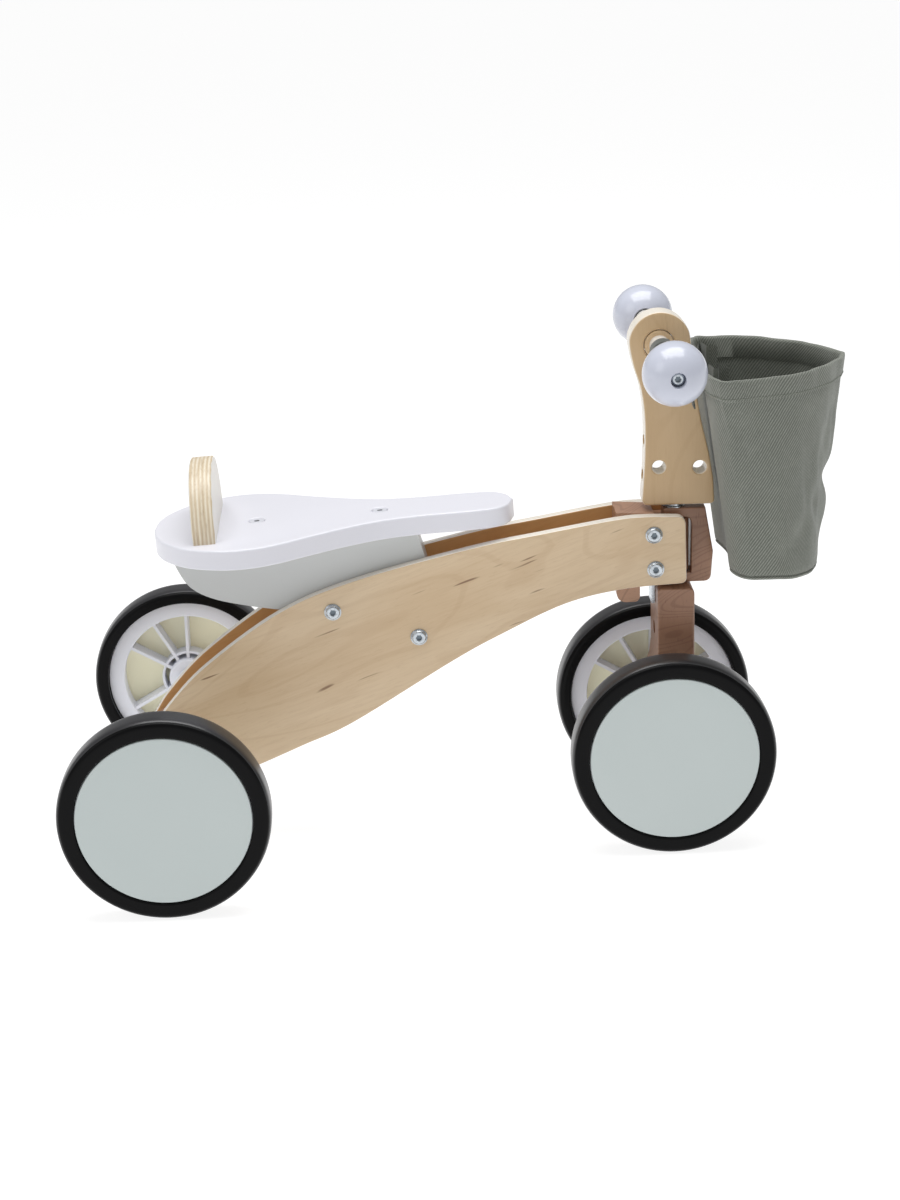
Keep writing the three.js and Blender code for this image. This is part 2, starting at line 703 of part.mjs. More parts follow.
// Basket: a soft pocket with a flat back, pushed in by the post it rests on, and a front that is a rounded
// box at the base and comes to a blunt point at the rim. t runs from 0 at the base to 1 at the rim.
function basketOutline(t, inset) {
  const back = BASKET_BACK - 12 * t + inset;
  const front = BASKET_FRONT - 18 * (1 - t) - inset;
  const widest = 458 - 28 * t;
  const halfWidth = 62 + 15 * t - inset;
  const dent = 3 + 7 * (1 - t);
  const points = [];
  for (let i = 0; i < BASKET_SIDES; i += 1) {
    const angle = (2 * Math.PI * i) / BASKET_SIDES;
    const c = Math.cos(angle);
    const s = Math.sin(angle);
    const ahead = c > 0;
    const power = ahead ? 2.6 - 0.9 * t : 2.6 + 0.9 * t;
    const reach = (ahead ? front - widest : widest - back) * Math.sign(c) * Math.abs(c) ** (2 / power);
    const y = halfWidth * Math.sign(s) * Math.abs(s) ** (2 / power);
    const near = Math.max(0, 1 - (y / BASKET_DENT_HALF) ** 2);
    points.push([widest + reach + (ahead ? 0 : dent * near), y]);
  }
  return points;
}

function basketSolid(inset, base, top) {
  const positions = [];
  const indices = [];
  const span = BASKET_TOP - BASKET_BASE;
  for (let ring = 0; ring <= BASKET_RINGS; ring += 1) {
    const z = base + ((top - base) * ring) / BASKET_RINGS;
    for (const [x, y] of basketOutline(Math.min(1, (z - BASKET_BASE) / span), inset)) {
      positions.push(x, y, z);
    }
  }
  for (let ring = 0; ring < BASKET_RINGS; ring += 1) {
    for (let i = 0; i < BASKET_SIDES; i += 1) {
      const a = ring * BASKET_SIDES + i;
      const b = ring * BASKET_SIDES + ((i + 1) % BASKET_SIDES);
      indices.push(a, b, b + BASKET_SIDES, a, b + BASKET_SIDES, a + BASKET_SIDES);
    }
  }
  const last = BASKET_RINGS * BASKET_SIDES;
  for (let i = 1; i < BASKET_SIDES - 1; i += 1) {
    indices.push(0, i + 1, i);
    indices.push(last, last + i, last + i + 1);
  }
  const geometry = new THREE.BufferGeometry();
  geometry.setAttribute("position", new THREE.Float32BufferAttribute(positions, 3));
  geometry.setIndex(indices);
  return geometry;
}
const basketOuter = basketSolid(0, BASKET_BASE, BASKET_TOP);
const basketInner = basketSolid(BASKET_WALL, BASKET_BASE + BASKET_WALL, BASKET_TOP + 5);
addMesh("basket", cut(basketOuter, [basketInner]), "cloth");

// Straps: a loop round the dowel with a tail that hangs down the back of the basket.
function strap(y) {
  const outer = new THREE.Shape(circlePoints(HANDLE_X, HANDLE_Z, HANDLE_R + 2.2, 20));
  outer.holes.push(circleHole(HANDLE_X, HANDLE_Z, HANDLE_R + 0.5));
  const tail = new THREE.Shape();
  tail.moveTo(HANDLE_X + 8.6, HANDLE_Z + 1);
  tail.lineTo(HANDLE_X + 9.8, HANDLE_Z + 1);
  tail.quadraticCurveTo(398, 366, 401.6, 338);
  tail.lineTo(400, 338);
  tail.quadraticCurveTo(395.5, 362, HANDLE_X + 8.6, HANDLE_Z + 1);
  const low = y - STRAP_WIDTH / 2;
  const high = y + STRAP_WIDTH / 2;
  return join([plate(outer, low, high, 0, 20), plate(tail, low, high, 0, 6)]);
}
addMesh("basket_strap_right", strap(-STRAP_Y), "strap");
addMesh("basket_strap_left", strap(STRAP_Y), "strap");

// The row's origin is under the middle of the whole outline, on the floor.
bike.position.x = (TYRE_R - BASKET_FRONT) / 2;

export default bike;
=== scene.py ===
"""A wooden four-wheeled balance bike with a cloth basket, dressed over its CAD frame."""

import math

import bmesh
import bpy
from mathutils import Matrix, Vector, noise


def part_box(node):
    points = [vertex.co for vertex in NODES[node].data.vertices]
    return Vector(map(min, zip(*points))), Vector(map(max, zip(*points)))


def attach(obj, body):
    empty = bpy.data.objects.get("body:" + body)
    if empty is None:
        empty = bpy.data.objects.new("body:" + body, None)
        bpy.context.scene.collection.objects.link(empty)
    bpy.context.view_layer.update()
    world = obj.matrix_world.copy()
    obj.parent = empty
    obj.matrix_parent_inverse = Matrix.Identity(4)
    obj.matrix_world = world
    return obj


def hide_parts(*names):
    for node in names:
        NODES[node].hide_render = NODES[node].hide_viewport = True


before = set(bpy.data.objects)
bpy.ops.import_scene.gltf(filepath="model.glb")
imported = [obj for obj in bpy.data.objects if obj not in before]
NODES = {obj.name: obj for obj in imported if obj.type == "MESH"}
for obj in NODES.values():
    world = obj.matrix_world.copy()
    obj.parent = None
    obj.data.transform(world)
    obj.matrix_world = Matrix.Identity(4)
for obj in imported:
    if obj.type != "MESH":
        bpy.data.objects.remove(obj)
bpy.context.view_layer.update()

SIDES = (("right", -1), ("left", 1))
ENDS = ("rear", "front")
MM = 0.001
PLY = 0.003
POST_HALF = 0.0099


# ---------------------------------------------------------------- places, all from the frame
def centre(node):
    low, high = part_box(node)
    return (Vector(low) + Vector(high)) / 2


REAR_AXLE = centre("rear_axle")
BASKET_LOW, BASKET_HIGH = (Vector(corner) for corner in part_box("basket"))


# ---------------------------------------------------------------- camera, floor and light
def rgb(red, green, blue):
    """A display colour from 0 to 255 as linear light."""
    linear = []
    for value in (red, green, blue):
        share = value / 255
        linear.append(share / 12.92 if value <= 10 else ((share + 0.055) / 1.055) ** 2.4)
    return tuple(linear)


def make_camera():
    yaw, pitch, roll = 0.02705, 0.32131, -0.03089
    from_rear_axle = Vector((0.16426, -1.81256, 0.71003))
    focal_in_image_heights = 2473.83 / 1200
    forward = Vector((math.sin(yaw) * math.cos(pitch), math.cos(yaw) * math.cos(pitch), -math.sin(pitch)))
    level = Vector((math.cos(yaw), -math.sin(yaw), 0))
    over = level.cross(forward)
    right = math.cos(roll) * level + math.sin(roll) * over
    up = -math.sin(roll) * level + math.cos(roll) * over
    data = bpy.data.cameras.new("camera")
    data.sensor_width = 36
    data.lens = 36 * focal_in_image_heights
    data.shift_x = 0.0034
    data.shift_y = 0.0002
    data.clip_start, data.clip_end = 0.05, 50
    camera = bpy.data.objects.new("camera", data)
    place = REAR_AXLE + from_rear_axle
    camera.matrix_world = Matrix(
        (
            (right.x, up.x, -forward.x, place.x),
            (right.y, up.y, -forward.y, place.y),
            (right.z, up.z, -forward.z, place.z),
            (0, 0, 0, 1),
        )
    )
    bpy.context.scene.collection.objects.link(camera)
    bpy.context.scene.camera = camera


def make_area(name, place, target, size, power, colour=(1, 1, 1)):
    data = bpy.data.lights.new(name, "AREA")
    data.shape = "RECTANGLE"
    data.size, data.size_y = size
    data.energy = power
    data.color = colour
    light = bpy.data.objects.new(name, data)
    light.location = place
    light.rotation_mode = "QUATERNION"
    light.rotation_quaternion = (Vector(target) - Vector(place)).to_track_quat("-Z", "Y")
    bpy.context.scene.collection.objects.link(light)


def make_studio():
    scene = bpy.context.scene
    world = bpy.data.worlds.new("studio")
    world.use_nodes = True
    background = world.node_tree.nodes["Background"]
    background.inputs["Color"].default_value = (1, 1, 1, 1)
    background.inputs["Strength"].default_value = 0.31
    scene.world = world
    scene.view_settings.view_transform = "Standard"
    make_area("key", (-1.9, -0.9, 1.5), (0, 0, 0.2), (1.3, 1.3), 6.5)
    make_area("front", (0.6, -2.4, 1.0), (0, 0, 0.2), (1.6, 1.2), 1.0)
    make_area("top", (0.0, 0.1, 2.2), (0, 0, 0.2), (2.0, 1.4), 38)
    mesh = bpy.data.meshes.new("floor")
    half = 24
    corners = [(-half, -half, 0), (half, -half, 0), (half, half, 0), (-half, half, 0)]
    mesh.from_pydata([(x, y, -0.0004) for x, y, _ in corners], [], [(0, 1, 2, 3)])
    floor = bpy.data.objects.new("floor", mesh)
    scene.collection.objects.link(floor)
    m = Paint("floor", rgb(150, 150, 150), 0.8)
    m.shader.inputs["Emission Color"].default_value = (1, 1, 1, 1)
    m.shader.inputs["Emission Strength"].default_value = 0.86
    m.tint(m.noise(3), 0.98, 1.0)
    mesh.materials.append(m.material)


# ---------------------------------------------------------------- materials
class Paint:
    """A Principled material with small helpers for procedural detail in object coordinates."""

    def __init__(self, name, colour, roughness, metallic=0.0):
        self.material = bpy.data.materials.new(name)
        self.material.use_nodes = True
        self.tree = self.material.node_tree
        self.shader = self.tree.nodes["Principled BSDF"]
        self.base = (*colour, 1)
        self.shader.inputs["Base Color"].default_value = self.base
        self.shader.inputs["Roughness"].default_value = roughness
        self.shader.inputs["Metallic"].default_value = metallic
        self.coords = self.add("ShaderNodeTexCoord")
        self.position = self.coords.outputs["Object"]
        self.normal = self.coords.outputs["Normal"]

    def add(self, kind, **values):
        node = self.tree.nodes.new(kind)
        for key, value in values.items():
            setattr(node, key, value)
        return node

    def link(self, source, target):
        self.tree.links.new(source, target)

    def scaled(self, scale, turn=(0, 0, 0), move=(0, 0, 0)):
        """Object coordinates turned first, then stretched, so that a grain can run at any slope."""
        turned = self.add("ShaderNodeMapping")
        turned.inputs["Rotation"].default_value = turn
        self.link(self.position, turned.inputs["Vector"])
        node = self.add("ShaderNodeMapping")
        node.inputs["Scale"].default_value = scale
        node.inputs["Location"].default_value = move
        self.link(turned.outputs["Vector"], node.inputs["Vector"])
        return node.outputs["Vector"]

    def noise(self, scale, detail=3.0, vector=None, roughness=0.5, distortion=0.0):
        node = self.add("ShaderNodeTexNoise")
        node.inputs["Scale"].default_value = scale
        node.inputs["Detail"].default_value = detail
        node.inputs["Roughness"].default_value = roughness
        node.inputs["Distortion"].default_value = distortion
        self.link(vector or self.position, node.inputs["Vector"])
        return node.outputs["Fac"]

    def math(self, operation, a, b=None, c=None, clamp=False):
        node = self.add("ShaderNodeMath", operation=operation, use_clamp=clamp)
        for socket, value in zip(node.inputs, (a, b, c)):
            if value is None:
                continue
            if isinstance(value, (int, float)):
                socket.default_value = value
            else:
                self.link(value, socket)
        return node.outputs[0]

    def range(self, value, low, high, to_low=0.0, to_high=1.0):
        node = self.add("ShaderNodeMapRange", interpolation_type="SMOOTHSTEP")
        node.inputs["From Min"].default_value = low
        node.inputs["From Max"].default_value = high
        node.inputs["To Min"].default_value = to_low
        node.inputs["To Max"].default_value = to_high
        self.link(value, node.inputs["Value"])
        return node.outputs["Result"]

    def mix(self, factor, a, b, blend="MIX"):
        node = self.add("ShaderNodeMix", data_type="RGBA", blend_type=blend)
        for index, value in ((0, factor), (6, a), (7, b)):
            socket = node.inputs[index]
            if isinstance(value, (int, float)):
                socket.default_value = value
            elif isinstance(value, tuple):
                socket.default_value = value if len(value) == 4 else (*value, 1)
            else:
                self.link(value, socket)
        return node.outputs[2]

    def axis(self, vector, name):
        node = self.add("ShaderNodeSeparateXYZ")
        self.link(vector, node.inputs[0])
        return node.outputs[name]

    def colour(self, output):
        self.link(output, self.shader.inputs["Base Color"])

    def tint(self, factor, low, high):
        dark = tuple(c * low for c in self.base[:3])
        light = tuple(min(1, c * high) for c in self.base[:3])
        self.colour(self.mix(factor, dark, light))

    def bump(self, height, distance, strength=1.0):
        node = self.add("ShaderNodeBump")
        node.inputs["Distance"].default_value = distance
        node.inputs["Strength"].default_value = strength
        self.link(height, node.inputs["Height"])
        self.link(node.outputs["Normal"], self.shader.inputs["Normal"])

    def set(self, **values):
        for name, value in values.items():
            self.shader.inputs[name.replace("_", " ")].default_value = value


def stretched(along, length, width, depth=None):
    """Noise scales for a figure that is long along the grain, which runs along x or z."""
    depth = depth or width
    return (length, depth, width) if along == "x" else (width, depth, length)


def plywood(name, along, tilt=0.0, light=rgb(226, 202, 168), dark=rgb(212, 184, 146), marks=0.8):
    """Clear-lacquered birch plywood: soft arched figure, short dark flecks, layered edges painted near-white
    as pale birch with a painted highlight, and painted shade on the faces that look in between the panels.
    """
    m = Paint(name, light, 0.38)
    turn = (0, tilt, 0)
    broad = m.noise(1.0, 3, m.scaled(stretched(along, 5, 16), turn), 0.55, 0.9)
    arches = m.noise(1.0, 1.5, m.scaled(stretched(along, 4, 15, 3), turn, (0.3, 0.2, 0.8)), 0.45, 0.4)
    contour = m.math("SINE", m.math("MULTIPLY", arches, 62.0))
    fine = m.noise(1.0, 4, m.scaled(stretched(along, 26, 520, 300), turn), 0.7)
    pores = m.noise(1.0, 3, m.scaled(stretched(along, 120, 900, 300), turn), 0.6)
    fleck_map = m.scaled(stretched(along, 22, 250, 60), turn, (0.37, 0.11, 0.53))
    flecks = m.range(m.noise(1.0, 1, fleck_map, 0.4), 0.735, 0.80)
    face = m.mix(m.range(broad, 0.3, 0.7), dark, light)
    face = m.mix(m.math("MULTIPLY", m.range(contour, 0.72, 1.0), 0.17), face, rgb(188, 152, 110))
    face = m.mix(m.math("MULTIPLY", m.range(fine, 0.42, 0.75), 0.24), face, rgb(192, 158, 118))
    face = m.mix(m.math("MULTIPLY", m.range(pores, 0.55, 0.75), 0.18), face, rgb(178, 142, 102))
    face = m.mix(m.math("MULTIPLY", flecks, marks), face, rgb(118, 78, 46))
    layer = m.axis(m.position, "Y")
    bands = m.math("SINE", m.math("MULTIPLY", layer, 2 * math.pi / PLY))
    # the layered edges are painted near-white: the pale birch plus a painted highlight of light off the
    # lacquered edges
    edge_tone_and_highlight = m.mix(m.range(bands, -0.2, 0.7), rgb(247, 243, 234), rgb(234, 222, 202))
    edge_tone_and_highlight = m.mix(m.math("MULTIPLY", m.range(fine, 0.5, 0.8), 0.2), edge_tone_and_highlight, rgb(206, 182, 150))
    facing = m.math("ABSOLUTE", m.axis(m.normal, "Y"))
    # painted shade: faces that look inward between the two panels are mixed to a darker orange, standing in
    # for the shade and bounced light there
    inner_side_shade = m.math("MULTIPLY", m.axis(m.normal, "Y"), layer)
    face = m.mix(m.range(inner_side_shade, -0.002, -0.008), face, m.mix(fine, rgb(222, 178, 124), rgb(204, 156, 100)))
    m.colour(m.mix(m.range(facing, 0.55, 0.85), edge_tone_and_highlight, face))
    m.bump(fine, 0.00006, 0.5)
    m.set(Coat_Weight=0.35, Coat_Roughness=0.22)
    return m.material


def beech(name, along="x", light=rgb(162, 121, 95), dark=rgb(140, 101, 77)):
    """Solid steamed beech: reddish, with curved growth lines and fine short rays."""
    m = Paint(name, light, 0.4)
    sweep = m.noise(1.0, 1, m.scaled((14, 9, 30), (0.2, 0.35, 0.45)), 0.4, 0.6)
    lines = m.math("SINE", m.math("MULTIPLY", sweep, 95.0))
    fine = m.noise(1.0, 4, m.scaled(stretched(along, 60, 420)), 0.7)
    rays = m.range(m.noise(1.0, 2, m.scaled(stretched(along, 160, 1300)), 0.4), 0.64, 0.72)
    tone = m.mix(m.range(m.noise(14, 2), 0.3, 0.7), dark, light)
    tone = m.mix(m.math("MULTIPLY", m.range(lines, 0.2, 1.0), 0.34), tone, rgb(112, 74, 54))
    tone = m.mix(m.math("MULTIPLY", m.range(fine, 0.5, 0.8), 0.26), tone, rgb(122, 84, 62))
    tone = m.mix(m.math("MULTIPLY", rays, 0.35), tone, rgb(92, 58, 42))
    m.colour(tone)
    m.bump(fine, 0.00008, 0.4)
    m.set(Coat_Weight=0.25, Coat_Roughness=0.3)
    return m.material


def white_paint(name, colour=rgb(236, 236, 244), roughness=0.34):
    """Sprayed white paint on wood: faint orange peel and a trace of grain."""
    m = Paint(name, colour, roughness)
    m.tint(m.noise(9, 3), 0.965, 1.01)
    peel = m.noise(420, 2)
    grain = m.noise(1.0, 3, m.scaled((20, 240, 240)))
    m.bump(m.math("ADD", m.math("MULTIPLY", peel, 0.4), grain), 0.00008, 0.35)
    m.set(Coat_Weight=0.2, Coat_Roughness=0.2)
    return m.material


def backrest_paint():
    """Cream-white faces with the plywood layers left bare round the edge."""
    m = Paint("backrest_paint", rgb(243, 240, 232), 0.4)
    face = m.mix(m.noise(12, 3), rgb(236, 231, 220), rgb(247, 245, 240))
    across = m.math("SUBTRACT", m.axis(m.position, "X"), m.math("MULTIPLY", m.axis(m.position, "Z"), -0.05))
    bands = m.math("SINE", m.math("MULTIPLY", across, 2 * math.pi / PLY))
    streaks = m.noise(1.0, 4, m.scaled((420, 60, 24)), 0.7)
    fine = m.noise(1.0, 3, m.scaled((900, 300, 60)), 0.7)
    layers = m.mix(m.range(bands, -0.6, 0.6), rgb(238, 228, 208), rgb(216, 198, 168))
    layers = m.mix(m.math("MULTIPLY", m.range(streaks, 0.42, 0.7), 0.5), layers, rgb(184, 160, 124))
    layers = m.mix(m.math("MULTIPLY", m.range(fine, 0.5, 0.8), 0.4), layers, rgb(156, 128, 94))
    facing = m.math("ABSOLUTE", m.axis(m.normal, "X"))
    m.colour(m.mix(m.range(facing, 0.6, 0.86), layers, face))
    m.bump(fine, 0.00006, 0.4)
    return m.material


def dowel_paint():
    """Grey-white turned dowel; its thick middle is bare wood, flush with the post."""
    m = Paint("dowel_paint", rgb(214, 210, 202), 0.4)
    turned = m.noise(1.0, 4, m.scaled((300, 30, 300)), 0.7)
    paint = m.mix(turned, rgb(196, 190, 180), rgb(226, 224, 220))
    bare = m.mix(turned, rgb(206, 174, 132), rgb(226, 200, 162))
    reach = m.math("ABSOLUTE", m.axis(m.position, "Y"))
    m.colour(m.mix(m.range(reach, POST_HALF + 0.0002, POST_HALF + 0.0008), bare, paint))
    m.bump(turned, 0.00005, 0.3)
    return m.material


def rubber(name, colour, shine):
    """Black tyre rubber: even, slightly dusty, with a soft shine."""
    m = Paint(name, colour, 0.3)
    m.tint(m.noise(60, 4), 0.75, 1.25)
    m.bump(m.noise(900, 2), 0.00004, 0.4)
    m.set(Specular_IOR_Level=shine)
    return m.material


def moulded(name, colour, roughness=0.4):
    """Moulded plastic with a fine spark-eroded texture."""
    m = Paint(name, colour, roughness)
    m.tint(m.noise(25, 3), 0.96, 1.02)
    m.bump(m.noise(1300, 2), 0.00004, 0.35)
    return m.material


def cover_paint(name, outward):
    """Sage face outside; the cream back shows between the spokes."""
    m = Paint(name, rgb(193, 202, 200), 0.55)
    facing = m.math("MULTIPLY", m.axis(m.normal, "Y"), outward)
    face = m.mix(m.noise(10, 3), rgb(201, 211, 210), rgb(207, 216, 215))
    back = m.mix(m.noise(18, 3), rgb(246, 242, 208), rgb(250, 247, 222))
    m.colour(m.mix(m.range(facing, -0.1, 0.1), back, face))
    m.bump(m.noise(700, 2), 0.00003, 0.3)
    return m.material


def zinc(name="zinc_plate"):
    """Bright zinc plating, faintly blue and lightly scuffed."""
    m = Paint(name, rgb(205, 212, 218), 0.26, 1.0)
    m.tint(m.noise(260, 4), 0.72, 1.08)
    m.link(m.range(m.noise(500, 3), 0.3, 0.7, 0.2, 0.38), m.shader.inputs["Roughness"])
    return m.material


def screw_paint(node):
    """A white-lacquered countersunk screw with painted shade, a dark disc, in the socket at its middle."""
    m = Paint(node + "_paint", rgb(226, 227, 234), 0.3, 0.1)
    middle = centre(node)
    offset = m.add("ShaderNodeVectorMath", operation="SUBTRACT")
    m.link(m.position, offset.inputs[0])
    offset.inputs[1].default_value = (middle.x, middle.y, 0)
    x, y = m.axis(offset.outputs[0], "X"), m.axis(offset.outputs[0], "Y")
    radius = m.math("SQRT", m.math("ADD", m.math("MULTIPLY", x, x), m.math("MULTIPLY", y, y)))
    white = m.mix(m.noise(300, 2), rgb(212, 214, 222), rgb(232, 233, 240))
    # painted shade: the middle within about 2 mm is dark, standing in for the shade in the socket
    m.colour(m.mix(m.range(radius, 0.0018, 0.0024), rgb(88, 90, 98), white))
    return m.material


def dark_socket():
    m = Paint("socket_shadow", rgb(120, 130, 138), 0.4, 0.9)
    m.tint(m.noise(400, 2), 0.7, 1.2)
    return m.material


def twill(name, light, dark, weave=3700.0):
    """Cotton twill: fine diagonal ribs over a slubby, slightly uneven colour."""
    m = Paint(name, light, 0.92)
    uv = m.coords.outputs["UV"]
    mapping = m.add("ShaderNodeMapping")
    mapping.inputs["Scale"].default_value = (weave, weave, weave)
    mapping.inputs["Rotation"].default_value = (0, 0, math.radians(38))
    m.link(uv, mapping.inputs["Vector"])
    ribs = m.math("SINE", m.axis(mapping.outputs["Vector"], "X"))
    threads = m.noise(1.0, 2, m.scaled((1500, 1500, 260)), 0.6)
    slubs = m.noise(34, 5, None, 0.7)
    tone = m.mix(m.range(ribs, -1, 1), dark, light)
    tone = m.mix(m.math("MULTIPLY", m.range(threads, 0.35, 0.7), 0.4), tone, dark)
    brighter = tuple(min(1, c * 1.25) for c in light)
    tone = m.mix(m.math("MULTIPLY", m.range(slubs, 0.45, 0.8), 0.22), tone, brighter)
    m.colour(tone)
    m.bump(m.math("ADD", ribs, m.math("MULTIPLY", threads, 0.6)), 0.0001, 0.6)
    m.set(Sheen_Weight=0.25, Sheen_Roughness=0.5)
    return m.material


# ---------------------------------------------------------------- mesh helpers
def finish_mesh(name, mesh_data, materials, sharp=35.0, body=None, stands_for=()):
    for polygon in mesh_data.polygons:
        polygon.use_smooth = True
    mesh_data.set_sharp_from_angle(angle=math.radians(sharp))
    for material in materials:
        mesh_data.materials.append(material)
    made = bpy.data.objects.new(name, mesh_data)
    bpy.context.scene.collection.objects.link(made)
    if body:
        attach(made, body)
    if stands_for:
        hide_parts(*stands_for)
    return made


def to_mesh(name, bm):
    bmesh.ops.recalc_face_normals(bm, faces=bm.faces)
    data = bpy.data.meshes.new(name)
    bm.to_mesh(data)
    bm.free()
    return data


def revolve(bm, profile, segments, place, outward, closed=True, wobble=None, material=0):
    """Turns (radius, distance outward) pairs about a Y axis through place. outward is -1 or 1."""
    rings = []
    for radius, along in profile:
        if radius < 1e-9:
            rings.append([bm.verts.new(place + Vector((0, along * outward, 0)))])
            continue
        ring = []
        for i in range(segments):
            angle = 2 * math.pi * i / segments
            r = wobble(radius, along, angle) if wobble else radius
            spot = Vector((r * math.cos(angle), along * outward, r * math.sin(angle)))
            ring.append(bm.verts.new(place + spot))
        rings.append(ring)
    pairs = list(zip(rings, rings[1:]))
    if closed:
        pairs.append((rings[-1], rings[0]))
    for a, b in pairs:
        for i in range(segments):
            j = (i + 1) % segments
            if len(a) == 1 and len(b) == 1:
                continue
            if len(a) == 1:
                face = bm.faces.new((a[0], b[j], b[i]))
            elif len(b) == 1:
                face = bm.faces.new((a[i], a[j], b[0]))
            else:
                face = bm.faces.new((a[i], a[j], b[j], b[i]))
            face.material_index = material


def arc(centre_point, radius, start, end, steps):
    """Points on a quarter round of a profile, angles in degrees from +radius towards +outward."""
    points = []
    for i in range(steps + 1):
        angle = math.radians(start + (end - start) * i / steps)
        across = centre_point[0] + radius * math.cos(angle)
        points.append((across, centre_point[1] + radius * math.sin(angle)))
    return points


def smooth_cad(node, material, angle):
    """A CAD node that stays in view: its own material and rounded shading."""
    made = NODES[node]
    made.data.materials.clear()
    made.data.materials.append(material)
    for polygon in made.data.polygons:
        polygon.use_smooth = True
    weld = made.modifiers.new("weld", "WELD")
    weld.merge_threshold = 0.00001
    split = made.modifiers.new("split", "EDGE_SPLIT")
    split.split_angle = math.radians(angle)
    even = made.modifiers.new("even", "WEIGHTED_NORMAL")
    even.keep_sharp = True
    if made.data.attributes.get("custom_normal"):
        made.data.attributes.remove(made.data.attributes["custom_normal"])


# ---------------------------------------------------------------- plates with rounded edges
def between(a, b, c, d, t):
    """The value a share t of the way from b to c, on a smooth curve through all four."""
    square = (2 * a - 5 * b + 4 * c - d) * t**2
    cube = (3 * b - a - 3 * c + d) * t**3
    return 0.5 * (2 * b + (c - a) * t + square + cube)


def spline(points, steps=8):
    """A smooth curve through the points."""
    ends = [points[0], *points, points[-1]]
    made = []
    for four in zip(ends, ends[1:], ends[2:], ends[3:]):
        for i in range(steps):
            made.append(tuple(between(*values, i / steps) for values in zip(*four)))
    return made + [points[-1]]


def bezier(points, steps=8):
    """A curve from the first point to the last, drawn towards those between."""
    made = []
    for i in range(steps + 1):
        level, t = list(points), i / steps
        while len(level) > 1:
            level = [tuple(a + (b - a) * t for a, b in zip(p, q)) for p, q in zip(level, level[1:])]
        made.append(level[0])
    return made


def slab(name, outline, holes, thickness, edge, place):
    """A plate with an even round edge and round holes. Outline and holes in millimetres."""
    curve = bpy.data.curves.new(name, "CURVE")
    curve.dimensions = "2D"
    curve.fill_mode = "BOTH"
    curve.extrude = thickness / 2 - edge
    curve.bevel_depth = edge
    curve.offset = -edge
    curve.bevel_resolution = 3
    rings = [outline]
    for x, y, radius in holes:
        turns = [2 * math.pi * i / 32 for i in range(32)]
        rings.append([(x + radius * math.cos(a), y + radius * math.sin(a)) for a in turns])
    for ring in rings:
        line = curve.splines.new("POLY")
        line.points.add(len(ring) - 1)
        for point, (x, y) in zip(line.points, ring):
            point.co = (x * MM, y * MM, 0, 1)
        line.use_cyclic_u = True
    drawn = bpy.data.objects.new(name, curve)
    bpy.context.scene.collection.objects.link(drawn)
    graph = bpy.context.evaluated_depsgraph_get()
    data = bpy.data.meshes.new_from_object(drawn.evaluated_get(graph))
    bpy.data.objects.remove(drawn)
    data.transform(place)
    bm = bmesh.new()
    bm.from_mesh(data)
    bmesh.ops.remove_doubles(bm, verts=bm.verts, dist=1e-6)
    data.materials.clear()
    bpy.data.meshes.remove(data)
    return to_mesh(name, bm)


def even_shading(made):
    """Keeps flat faces flat beside their round edges."""
    even = made.modifiers.new("even", "WEIGHTED_NORMAL")
    even.keep_sharp = True


def upright(middle_y):
    """Stands a drawn outline up in the plane of the wheels, measured from under the rear axle."""
    return Matrix.Translation((REAR_AXLE.x, middle_y, 0)) @ Matrix.Rotation(math.pi / 2, 4, "X")


def panel_outline():
    top = [(-19, 93), (-4.6, 114.3), (26.6, 146.6), (85.3, 187.8), (143.4, 211), (233.6, 233.2)]
    top += [(285.3, 242.2), (342.3, 251.3), (366.5, 252.8), (390, 252)]
    low = [(392, 198.8), (347.2, 195.8), (303.5, 186), (255.6, 164.1), (216.6, 143.4), (138.7, 96.5)]
    low += [(99.2, 79.1), (63.5, 64), (34, 52.5), (6, 48.5)]
    outline = spline(top)[:-1] + bezier([(390, 252), (395.6, 251.4), (396, 246)])
    outline += bezier([(396.6, 203), (396.4, 199), (392, 198.8)])[:-1] + spline(low)[:-1]
    return outline + bezier([(6, 48.5), (-12, 47), (-31, 66), (-19, 93)], 14)[:-1]


def post_outline():
    rear = [(364.6, 261.7), (366.6, 292.3), (366.9, 322.7), (364.2, 347), (358.5, 366)]
    turns = [math.radians(180 - 22.5 * i) for i in range(9)]
    head = [(378.6 + 23.2 * math.cos(a), 383 + 23.2 * math.sin(a)) for a in turns]
    front = [(403.6, 366), (405.8, 347), (409.9, 323), (415.6, 298), (419.2, 277)]
    outline = bezier([(369, 257), (365, 257.4), (364.6, 261.7)])[:-1] + spline(rear + head + front)
    return outline + bezier([(420, 260), (420, 256.6), (416, 256.6)])


def seat_outline():
    side = [(-67, 0), (-64.5, 22), (-56, 42), (-39, 61.5), (-14, 73.6), (8, 75), (28, 68.5)]
    side += [(50, 56), (78, 41), (106, 30), (136, 25.8), (166, 25.9), (190, 23.6), (202, 14.5), (207, 0)]
    curve = spline(side)
    return curve + [(x, -y) for x, y in reversed(curve[1:-1])]


def drilled(data, pits):
    """The plate with round pits bored into its rear edge. Each pit is a place and a radius."""
    plate = bpy.data.objects.new("plate", data)
    bpy.context.scene.collection.objects.link(plate)
    bits = []
    for place, radius in pits:
        bm = bmesh.new()
        turn = Matrix.Translation(place) @ Matrix.Rotation(math.pi / 2, 4, "Y")
        bmesh.ops.create_cone(
            bm, cap_ends=True, segments=28, radius1=radius, radius2=radius, depth=0.02, matrix=turn
        )
        bit = bpy.data.objects.new("bit", to_mesh("bit", bm))
        bpy.context.scene.collection.objects.link(bit)
        cut = plate.modifiers.new("cut", "BOOLEAN")
        cut.object = bit
        cut.operation = "DIFFERENCE"
        cut.solver = "EXACT"
        bits.append(bit)
    graph = bpy.context.evaluated_depsgraph_get()
    made = bpy.data.meshes.new_from_object(plate.evaluated_get(graph))
    for thing in [plate, *bits]:
        bpy.data.objects.remove(thing)
    return made


